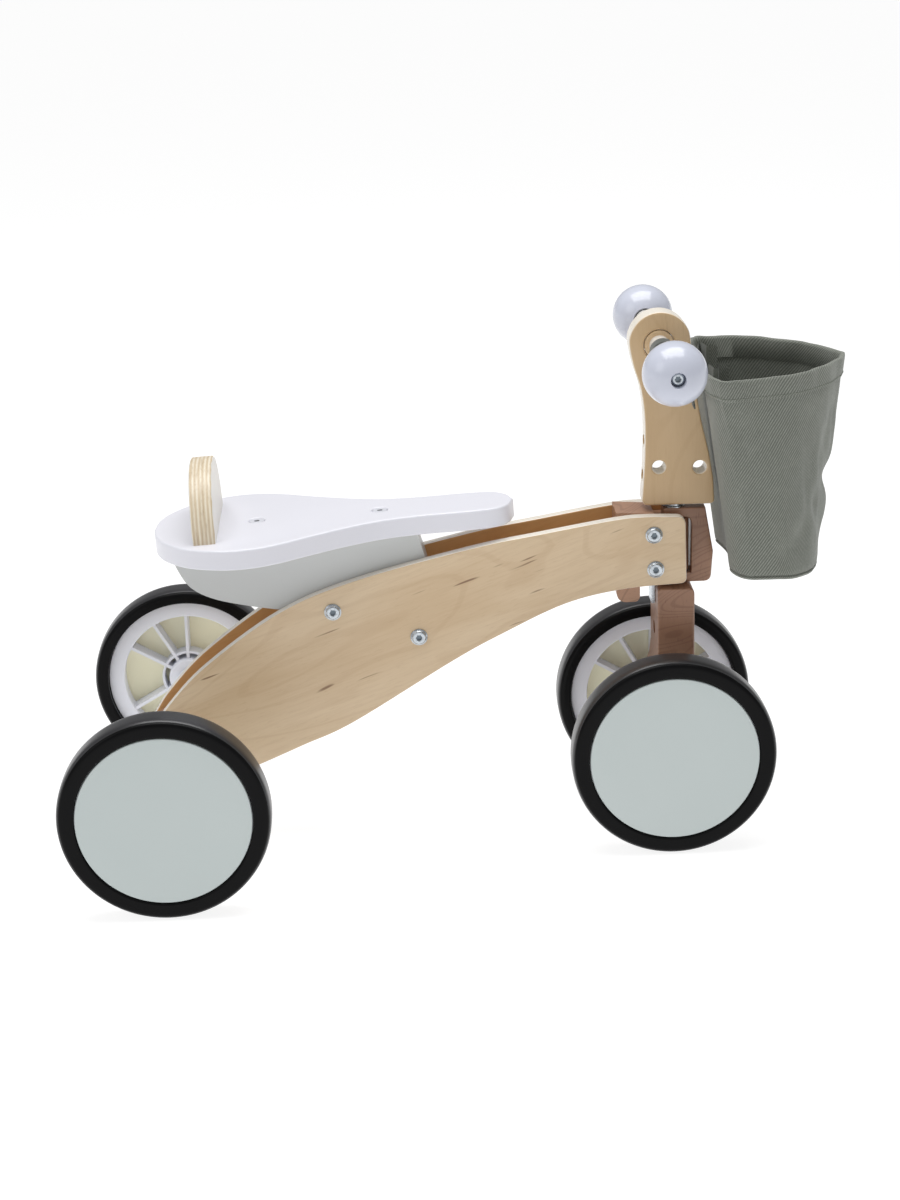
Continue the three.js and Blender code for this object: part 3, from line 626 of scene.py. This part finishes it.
def make_head_nose():
    """The half-round front of the head block, turned about the steering axis inside the bracket."""
    axis_x, radius, back = 390.0, 11.3, 396.8
    spread = math.acos((back - axis_x) / radius)
    turns = [-spread + 2 * spread * i / 18 for i in range(19)]
    outline = [(axis_x + radius * math.cos(a), radius * math.sin(a)) for a in turns]
    low, high = 0.2035, 0.2459
    place = Matrix.Translation((REAR_AXLE.x, 0, (low + high) / 2))
    data = slab("nose", outline, [], high - low, 0.0004, place)
    finish_mesh("head_nose", data, [beech("nose_beech", "x")], 40, "frame", ())


def make_plates():
    panel = plywood("panel_plywood", "x", math.radians(20))
    bolts = [centre(f"frame_bolt_right_{i}") - Vector((REAR_AXLE.x, 0, 0)) for i in range(1, 5)]
    holes = [(b.x / MM, b.z / MM, 3.2) for b in bolts] + [(0, REAR_AXLE.z / MM, 4.6)]
    for side, _ in SIDES:
        node = f"side_panel_{side}"
        low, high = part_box(node)
        middle = (low[1] + high[1]) / 2
        data = slab("panel", panel_outline(), holes, high[1] - low[1], 0.0009, upright(middle))
        even_shading(finish_mesh(node + "_skin", data, [panel], 40, "frame", [node]))
    post = plywood("post_plywood", "z", 0.0, rgb(220, 192, 152), rgb(204, 173, 130), 0.12)
    low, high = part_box("steering_post")
    holes = [(378, 381.3, 11.5), (377.6, 287, 5), (408.6, 286, 5)]
    data = slab("post", post_outline(), holes, high[1] - low[1], 0.0016, upright(0))
    pits = [(centre(node) - Vector((0.007, 0, 0)), 0.005) for node in ("post_bolt_upper", "post_bolt_lower")]
    data = drilled(data, pits)
    even_shading(finish_mesh("steering_post_skin", data, [post], 40, "steering", ["steering_post"]))
    lean = Matrix.Rotation(-math.atan(0.05), 4, "Y")
    tilt = Matrix.Translation((REAR_AXLE.x + 0.060, 0, 0.2544)) @ lean @ Matrix.Translation((0, 0, -0.00775))
    data = slab("seat", seat_outline(), [(11, 0, 6), (105, 0, 6)], 0.0155, 0.0018, tilt)
    skin = [white_paint("seat_white")]
    even_shading(finish_mesh("seat_plate_skin", data, skin, 40, "frame", ["seat_plate"]))


# ---------------------------------------------------------------- wheels
TYRE_R = 0.078
TYRE_HALF = 0.013
TYRE_BORE = 0.0669
TYRE_LIP = 0.0647
RIM_R = 0.0666
RIM_WELL = 0.0538
RIM_INNER = -0.0065
RIM_OUTER = 0.009
COVER_R = 0.0642
BOSS_R = 0.0165
SPOKES = (90, 120, 150, 210, 240, 270, 330, 0, 30)


def shoulder(side):
    """From the crown over a fine groove to the flat of the sidewall. side is -1 or 1 along the axle."""
    drops = [(0, 4), (0.15, 7.6), (0.6, 9.6), (1.2, 10.7), (1.75, 10.8), (1.9, 11.4)]
    drops += [(2.6, 12.3), (4.0, 12.85), (6.0, 13.0), (8.4, 12.9)]
    points = [(TYRE_R - drop * MM, side * along * MM) for drop, along in drops]
    return points if side > 0 else points[::-1]


def tyre_profile():
    lip = 0.0018
    points = arc((TYRE_BORE + lip, -TYRE_HALF + lip), lip, 180, 270, 4)
    points += shoulder(-1) + shoulder(1)
    points += arc((TYRE_LIP + lip, TYRE_HALF - lip - 0.0001), lip, 90, 180, 5)
    points += [(TYRE_LIP, RIM_OUTER + 0.0003), (TYRE_BORE, RIM_OUTER + 0.0003)]
    return points


def rib(bm, place, outward, degrees):
    """One spoke: a tapered rib with eased edges from the boss to the rim."""
    start, end = BOSS_R - 0.001, RIM_WELL + 0.001
    low, high = -0.0045, RIM_OUTER - 0.0002
    turn = Matrix.Rotation(math.radians(degrees), 4, "Y")
    made = bmesh.ops.create_cube(bm, size=1)["verts"]
    for vertex in made:
        along = start if vertex.co.x < 0 else end
        half = 0.0019 if vertex.co.y * outward > 0 else 0.0012
        depth = low if vertex.co.y < 0 else high
        vertex.co = place + turn @ Vector((along, depth * outward, half * (1 if vertex.co.z > 0 else -1)))
    return made


def hub_mesh(place, outward):
    bm = bmesh.new()
    rim = [(RIM_WELL, RIM_OUTER), (RIM_WELL, RIM_INNER + 0.0012)]
    rim += arc((RIM_WELL + 0.0012, RIM_INNER + 0.0012), 0.0012, 180, 270, 4)
    rim += arc((RIM_R - 0.0008, RIM_INNER + 0.0008), 0.0008, 270, 360, 3)
    rim += [(RIM_R, RIM_OUTER)]
    revolve(bm, rim, 96, place, outward)
    boss = [(0.0044, 0.0025), (0.0044, -0.009), (0.012, -0.009)]
    boss += arc((0.0145, -0.007), 0.002, 270, 360, 4)
    boss += [(BOSS_R, RIM_OUTER), (0.010, RIM_OUTER), (0.010, 0.0025)]
    revolve(bm, boss, 48, place, outward)
    ring = [(0.0205, RIM_OUTER), (0.0205, -0.004), (0.0215, -0.0047), (0.0225, -0.004), (0.0225, RIM_OUTER)]
    revolve(bm, ring, 48, place, outward)
    for degrees in SPOKES:
        rib(bm, place, outward, degrees)
    return to_mesh("hub", bm)


def make_wheels():
    # the tread rubber is a lighter grey than the sidewall: a painted sheen that stands in for light reflected
    # off the crown
    rubbers = [rubber("tyre_side", rgb(14, 14, 15), 0.1), rubber("tyre_tread_painted_sheen", rgb(40, 40, 43), 0.6)]
    hub_material = moulded("hub_plastic", rgb(236, 238, 246))
    for end in ENDS:
        for side, sign in SIDES:
            body = f"{end}_wheel_{side}"
            low, high = (Vector(corner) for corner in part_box(f"{end}_tyre_{side}"))
            place = (low + high) / 2
            bm = bmesh.new()
            revolve(bm, tyre_profile(), 128, place, sign)
            # faces on the crown take the lighter tread rubber, the painted sheen
            for face in bm.faces:
                face.material_index = int((face.calc_center_median() - place).xz.length > TYRE_R - 0.0016)
            tyre = f"{end}_tyre_{side}"
            finish_mesh(tyre + "_skin", to_mesh("tyre", bm), rubbers, 50, body, [tyre])
            hub = f"{end}_hub_{side}"
            finish_mesh(hub + "_skin", hub_mesh(place, sign), [hub_material], 40, body, [hub])
            cover = f"{end}_cover_{side}"
            bm = bmesh.new()
            profile = [(0, 0.0093), (COVER_R, 0.0093)]
            profile += arc((COVER_R - 0.0009, 0.0116), 0.0009, 0, 90, 5) + [(0.045, 0.01245), (0, 0.0123)]
            revolve(bm, profile, 128, place, sign, closed=False)
            data = to_mesh("cover", bm)
            paint = cover_paint(cover + "_paint", sign)
            finish_mesh(cover + "_skin", data, [paint], 50, body, [cover])


# ---------------------------------------------------------------- grips and bolts
def hexagon(radius, angle):
    sector = math.radians(60)
    return radius / math.cos((angle % sector) - sector / 2) * math.cos(sector / 2)


def make_bolt(node, body, direction, head_r, height, socket_r, metal, dark):
    """A turned domed head with a washer-like flange and a hexagon socket."""
    low, high = (Vector(corner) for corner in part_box(node))
    middle = (low + high) / 2
    outer = low.y if direction < 0 else high.y
    place = Vector((middle.x, outer - direction * height, middle.z))
    bm = bmesh.new()
    profile = [(0.003, -0.018), (0.003, 0.0), (head_r, 0.0), (head_r, height * 0.32)]
    profile += [(head_r - 0.0004, height * 0.42), (head_r * 0.86, height * 0.5)]
    profile += arc((head_r * 0.62, height * 0.55), height * 0.45, 10, 85, 5)
    profile += [(socket_r * 1.12, height)]
    revolve(bm, profile, 48, place, direction, closed=False)
    walls = [(socket_r * 1.12, height), (socket_r, height - 0.0003)]
    walls += [(socket_r, height - 0.0019), (0, height - 0.0021)]

    def six_sided(radius, along, angle):
        return radius if along >= height - 1e-6 else hexagon(radius, angle)

    revolve(bm, walls, 48, place, direction, closed=False, wobble=six_sided, material=0)
    for face in bm.faces:
        if face.calc_center_median().y * direction < (place.y * direction + height - 0.0017):
            if (face.calc_center_median() - place).xz.length < socket_r * 0.9:
                face.material_index = 1
    bmesh.ops.remove_doubles(bm, verts=bm.verts, dist=1e-6)
    finish_mesh(node + "_skin", to_mesh("bolt", bm), [metal, dark], 32, body, [node])


def make_grips(metal, dark):
    gloss = Paint("grip_paint", rgb(206, 210, 224), 0.26)
    gloss.tint(gloss.noise(14, 3), 0.97, 1.01)
    gloss.bump(gloss.noise(500, 2), 0.00003, 0.3)
    gloss.set(Coat_Weight=0.5, Coat_Roughness=0.12)
    radius, bore, recess, floor = 0.0235, 0.0081, 0.0058, 0.014
    for side, sign in SIDES:
        low, high = (Vector(corner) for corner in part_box(f"grip_bolt_{side}"))
        place = Vector(((low.x + high.x) / 2, sign * 0.1028, (low.z + high.z) / 2))
        start = math.degrees(math.asin((bore + 0.0014) / radius)) - 90
        end = 90 - math.degrees(math.asin(recess / radius))
        profile = arc((0, 0), radius, start, end, 40)
        lip = profile[-1][1]
        profile += [(recess - 0.0003, lip - 0.0004), (recess - 0.0003, floor), (0.0028, floor)]
        profile += [(0.0028, -0.0014), (bore, -0.0014), (bore, -radius + 0.0036)]
        bm = bmesh.new()
        revolve(bm, profile, 72, place, sign)
        name = f"grip_ball_{side}"
        data = to_mesh("ball", bm)
        finish_mesh(name + "_skin", data, [gloss.material], 50, "steering", [name])
        make_bolt(f"grip_bolt_{side}", "steering", sign, 0.0052, 0.0034, 0.0022, metal, dark)


# ---------------------------------------------------------------- basket
HEM_DEPTH = 0.0165
AROUND = 176
UP = 64


def signed_power(value, power):
    return math.copysign(abs(value) ** power, value)


def basket_point(turn, t):
    """A point on the cloth, on the CAD solid's own outline: flat at the back, blunt-pointed at the front rim.

    turn goes round from 0 at the front to 1, and t from 0 at the base to 1 at the rim."""
    back = REAR_AXLE.x + (426 - 20 * t) * MM
    front = REAR_AXLE.x + (516 - 18 * (1 - t)) * MM
    widest = REAR_AXLE.x + (458 - 28 * t) * MM
    half_width = (62 + 15 * t) * MM
    angle = 2 * math.pi * turn
    c, s = math.cos(angle), math.sin(angle)
    ahead = c > 0
    power = 2 / (2.6 - 0.9 * t if ahead else 3.8 + 0.4 * t)
    y = half_width * signed_power(s, power)
    push = 0 if ahead else (3 + 3 * (1 - t)) * MM * max(0, 1 - (y / 0.038) ** 2)
    x = widest + (front - widest if ahead else widest - back) * signed_power(c, power) + push
    z = BASKET_LOW.z + (BASKET_HIGH.z - BASKET_LOW.z) * t
    return Vector((x, y, z))


def hump(value, middle, width):
    return math.exp(-(((value - middle) / width) ** 2))


def creases(turn, t):
    """Sharp folds and pinches of the near and front cloth, in millimetres outwards."""
    turn = (turn + 0.5) % 1 - 0.5
    amount = 0.0
    for at, width, low, high, size in FOLDS:
        reach = min(1, max(0, (t - low) / 0.12)) * min(1, max(0, (high - t) / 0.12))
        amount += size * max(0, 1 - abs(turn - at) / width) * reach
    for at, width, height, depth, lean, size in PINCHES:
        amount -= size * hump(turn, at + lean * (t - height), width) * hump(t, height, depth)
    return amount


# Folds: place round the basket, half width, lowest and highest t, size. The front point is at 0.
FOLDS = (
    (0.012, 0.035, 0.55, 1.2, 2.2),
    (-0.028, 0.030, 0.10, 1.2, 2.0),
    (-0.215, 0.028, -0.2, 0.75, 1.4),
    (0.10, 0.04, 0.3, 1.2, 1.5),
    (0.29, 0.05, -0.2, 1.2, 1.6),
)
# Pinches: place, half width, t, height, lean with t, size.
PINCHES = (
    (-0.02, 0.055, 0.42, 0.075, 0.10, 5.2),
    (-0.10, 0.034, 0.30, 0.16, -0.30, 2.6),
    (-0.17, 0.032, 0.20, 0.13, 0.35, 2.2),
    (-0.085, 0.028, 0.62, 0.14, 0.22, 2.0),
    (-0.235, 0.030, 0.12, 0.10, 0.20, 1.4),
    (0.14, 0.045, 0.38, 0.12, -0.25, 2.2),
    (0.30, 0.050, 0.55, 0.16, 0.20, 1.8),
)


def sag(turn, t):
    """How far the cloth moves outwards, in metres: soft folds that die out at the base and by the post."""
    angle = 2 * math.pi * turn
    ring = Vector((math.cos(angle), math.sin(angle), 0))
    broad = noise.noise(ring * 1.7 + Vector((3.1, 0.7, t * 1.3)))
    folds = noise.noise(ring * 4.2 + Vector((0.4, 5.2, t * 1.1)))
    crumple = noise.noise(ring * 7.5 + Vector((9.0, 2.0, t * 7.5)))
    free = 1 if math.cos(angle) > -0.45 else 0.25
    amount = 2.2 * broad + 1.9 * folds * (0.35 + 0.65 * t) + 1.1 * crumple - 0.8
    return (amount * min(1, 0.3 + t * 1.6) + creases(turn, t)) * free * MM


def cloth_point(turn, t, extra=0.0):
    here = basket_point(turn, t)
    around = basket_point(turn + 0.004, t) - basket_point(turn - 0.004, t)
    outward = Vector((around.y, -around.x, 0)).normalized()
    ring = Vector((math.cos(turn * 2 * math.pi), math.sin(turn * 2 * math.pi), 0))
    drop = -1.2 * MM * (0.5 + 0.5 * noise.noise(ring * 2.1)) * t
    return here + outward * (sag(turn, t) + extra) + Vector((0, 0, drop))


def make_basket():
    cloth = twill("basket_twill", rgb(150, 153, 144), rgb(100, 104, 96))
    bm = bmesh.new()
    uv = bm.loops.layers.uv.new("UVMap")
    height = BASKET_HIGH.z - BASKET_LOW.z
    hem_t = 1 - HEM_DEPTH / height
    inner_hem = 0.0012
    # One long sheet: up the outside, over the rim, and down the inside.
    rows = []
    # the sewn-in base shows as a thin welt under the seam
    welt = [(-0.0030, -0.0028), (-0.0008, -0.0022), (0.0001, -0.0006)]
    welt += [(-0.0012, 0.0006), (0.0, 0.0016), (0.0001, 0.006)]
    for shrink, rise in welt:
        rows.append((rise / height, shrink))
    steps = [0.10 + (hem_t - 0.10) * i / (UP - 1) for i in range(UP)]
    rows += [(t, 0.0) for t in steps]
    rows += [(hem_t + 0.002, 0.0009), (hem_t + 0.02, inner_hem), (0.985, inner_hem), (0.997, 0.0008)]
    rows += [(1.0, -0.0006), (0.997, -0.0021), (0.985, -0.0027), (hem_t, -0.0027), (hem_t - 0.004, -0.0018)]
    rows += [(t, -0.0016) for t in reversed(steps[::2])]
    grid = []
    for t, extra in rows:
        grid.append([bm.verts.new(cloth_point(i / AROUND, t, extra)) for i in range(AROUND)])
    round_length = [0.0]
    for i in range(AROUND):
        step = cloth_point((i + 1) / AROUND, 0.6) - cloth_point(i / AROUND, 0.6)
        round_length.append(round_length[-1] + step.length)
    run = 0.0
    lengths = [0.0]
    for a, b in zip(rows, rows[1:]):
        run += abs(a[0] - b[0]) * height + abs(a[1] - b[1])
        lengths.append(run)
    for k in range(len(rows) - 1):
        for i in range(AROUND):
            j = (i + 1) % AROUND
            face = bm.faces.new((grid[k][i], grid[k][j], grid[k + 1][j], grid[k + 1][i]))
            for loop, (col, row) in zip(face.loops, ((i, k), (i + 1, k), (i + 1, k + 1), (i, k + 1))):
                loop[uv].uv = (round_length[col], lengths[row])
    for ring in (grid[0], grid[-1]):
        middle = sum((v.co for v in ring), Vector()) / len(ring)
        previous = ring
        for share in (0.66, 0.33):
            inner = [bm.verts.new(middle + (v.co - middle) * share) for v in ring]
            for i in range(AROUND):
                j = (i + 1) % AROUND
                face = bm.faces.new((previous[i], previous[j], inner[j], inner[i]))
                for loop in face.loops:
                    loop[uv].uv = (loop.vert.co.x, loop.vert.co.y)
            previous = inner
        tip = bm.verts.new(middle)
        for i in range(AROUND):
            face = bm.faces.new((previous[i], previous[(i + 1) % AROUND], tip))
            for loop in face.loops:
                loop[uv].uv = (loop.vert.co.x, loop.vert.co.y)
    data = to_mesh("basket", bm)
    finish_mesh("basket_cloth", data, [cloth], 60, "steering", ["basket"])
    make_stitches(hem_t)
    make_tabs(cloth)


def make_straps():
    """A webbing loop round the handlebar on each side of the post, its tail down the back of the basket."""
    webbing = twill("strap_webbing", rgb(96, 100, 94), rgb(58, 61, 57), 2600)
    bar = centre("handlebar_dowel")
    loop = [math.radians(20 + 340 * i / 36) for i in range(37)]
    path = [(bar.x + 0.0092 * math.cos(a), bar.z + 0.0092 * math.sin(a)) for a in loop]
    tail = [(9.6, -2), (13.5, -10), (17.5, -20), (20.6, -31), (22.4, -41.5)]
    path += [(bar.x + x * MM, bar.z + z * MM) for x, z in spline(tail, 5)]
    across = [-7, -6.6, -3.5, 0, 3.5, 6.6, 7]
    for side, _ in SIDES:
        bm = bmesh.new()
        uv = bm.loops.layers.uv.new("UVMap")
        middle = centre(f"basket_strap_{side}").y
        rows, run = [], 0.0
        for k, (x, z) in enumerate(path):
            before, after = path[max(0, k - 1)], path[min(len(path) - 1, k + 1)]
            along = Vector((after[0] - before[0], 0, after[1] - before[1])).normalized()
            away = Vector((along.z, 0, -along.x))
            run += 0 if k == 0 else (Vector(path[k]) - Vector(path[k - 1])).length
            ring = []
            for y in across + across[::-1]:
                face_side = 1 if len(ring) < len(across) else -1
                thick = 0.55 if abs(y) < 6.8 else 0.2
                ring.append(bm.verts.new(Vector((x, middle + y * MM, z)) + away * thick * face_side * MM))
            rows.append((ring, run))
        for (a, run_a), (b, run_b) in zip(rows, rows[1:]):
            for i in range(len(a)):
                j = (i + 1) % len(a)
                face = bm.faces.new((a[i], a[j], b[j], b[i]))
                corners = ((a[i], run_a), (a[j], run_a), (b[j], run_b), (b[i], run_b))
                for loop_corner, (v, value) in zip(face.loops, corners):
                    loop_corner[uv].uv = (v.co.y, value)
        bm.faces.new(rows[0][0])
        bm.faces.new(rows[-1][0])
        node = f"basket_strap_{side}"
        finish_mesh(node + "_webbing", to_mesh("strap", bm), [webbing], 50, "steering", [node])


def make_tabs(cloth):
    """The folded ends of the strap patches, which stand up inside the back of the basket."""
    bm = bmesh.new()
    uv = bm.loops.layers.uv.new("UVMap")
    for sign in (-1, 1):
        fold = [(412, 29), (413.5, 45), (416, 46), (418.5, 30), (420.5, 29), (426, 30)]
        steps = 7
        rows = []
        for k in range(steps):
            z = BASKET_HIGH.z + (1.2 - 30 * k / (steps - 1)) * MM
            lean = 1.6 * (k / (steps - 1)) ** 2
            rows.append([(REAR_AXLE.x + (x + lean) * MM, sign * y * MM, z) for x, y in fold])
        for thick in (0.0, 0.0009):
            grid = [[bm.verts.new((x + thick, y, z)) for x, y, z in row] for row in rows]
            for k in range(steps - 1):
                for i in range(len(fold) - 1):
                    face = bm.faces.new((grid[k][i], grid[k][i + 1], grid[k + 1][i + 1], grid[k + 1][i]))
                    for loop, (a, b) in zip(face.loops, ((i, k), (i + 1, k), (i + 1, k + 1), (i, k + 1))):
                        loop[uv].uv = (a * 0.008, b * 0.005)
    finish_mesh("basket_tabs", to_mesh("tabs", bm), [cloth], 40, "steering", ())


def make_stitches(hem_t):
    """A row of short stitches at the foot of the hem."""
    thread = Paint("basket_thread", rgb(128, 133, 122), 0.8)
    thread.tint(thread.noise(900, 2), 0.8, 1.15)
    count, sewn_share, proud = 190, 0.62, 0.0013
    t = hem_t + 0.016
    up = Vector((0, 0, 1))
    turns = [k * math.pi / 3 for k in range(6)]
    bm = bmesh.new()
    for i in range(count):
        a = cloth_point(i / count, t, proud)
        b = cloth_point((i + sewn_share) / count, t, proud)
        along = (b - a).normalized()
        side = along.cross(up).normalized()
        rows = []
        for share, size in ((0, 0.12), (0.15, 0.32), (0.5, 0.42), (0.85, 0.32), (1, 0.12)):
            middle = a.lerp(b, share)
            arms = [(side * math.cos(q) + up * math.sin(q)) * size * MM for q in turns]
            rows.append([bm.verts.new(middle + arm) for arm in arms])
        for low, high in zip(rows, rows[1:]):
            for k in range(6):
                bm.faces.new((low[k], low[(k + 1) % 6], high[(k + 1) % 6], high[k]))
        bm.faces.new(rows[0])
        bm.faces.new(rows[-1])
    finish_mesh("basket_stitches", to_mesh("stitches", bm), [thread.material], 60, "steering", ())


# ---------------------------------------------------------------- the whole object
def dress_frame(metal, dark):
    for side, sign in SIDES:
        for index in range(1, 5):
            make_bolt(f"frame_bolt_{side}_{index}", "frame", sign, 0.0065, 0.0028, 0.0024, metal, dark)
    solid = beech("beech_long", "x", rgb(190, 148, 120), rgb(172, 130, 104))
    standing = beech("beech_upright", "z")
    for node in ("head_block", "rear_axle_block"):
        smooth_cad(node, solid, 50)
    for node in ("steering_bracket", "fork_block"):
        smooth_cad(node, standing, 50)
    # painted shade: the support under the seat is painted grey, darker than the seat's white, for the shade
    # it sits in under the seat
    smooth_cad("seat_support", white_paint("support_white_painted_shade", rgb(206, 208, 206), 0.45), 40)
    smooth_cad("backrest", backrest_paint(), 50)
    smooth_cad("handlebar_dowel", dowel_paint(), 40)
    white = moulded("sleeve_plastic", rgb(228, 230, 236))
    for side, _ in SIDES:
        smooth_cad(f"rear_sleeve_{side}", white, 40)
        smooth_cad(f"front_sleeve_{side}", white, 40)
    words = ("axle_nut", "barrel_nut", "post_bolt", "steering_bolt", "washer", "stop_plate")
    for node in sorted(o.name for o in NODES.values()):
        if "seat_screw" in node:
            smooth_cad(node, screw_paint(node), 35)
        if any(word in node for word in words) or node in ("rear_axle", "front_axle"):
            smooth_cad(node, metal, 35)


make_camera()
make_studio()
metal = zinc()
dark = dark_socket()
make_wheels()
make_grips(metal, dark)
make_basket()
make_straps()
make_head_nose()
make_plates()
dress_frame(metal, dark)
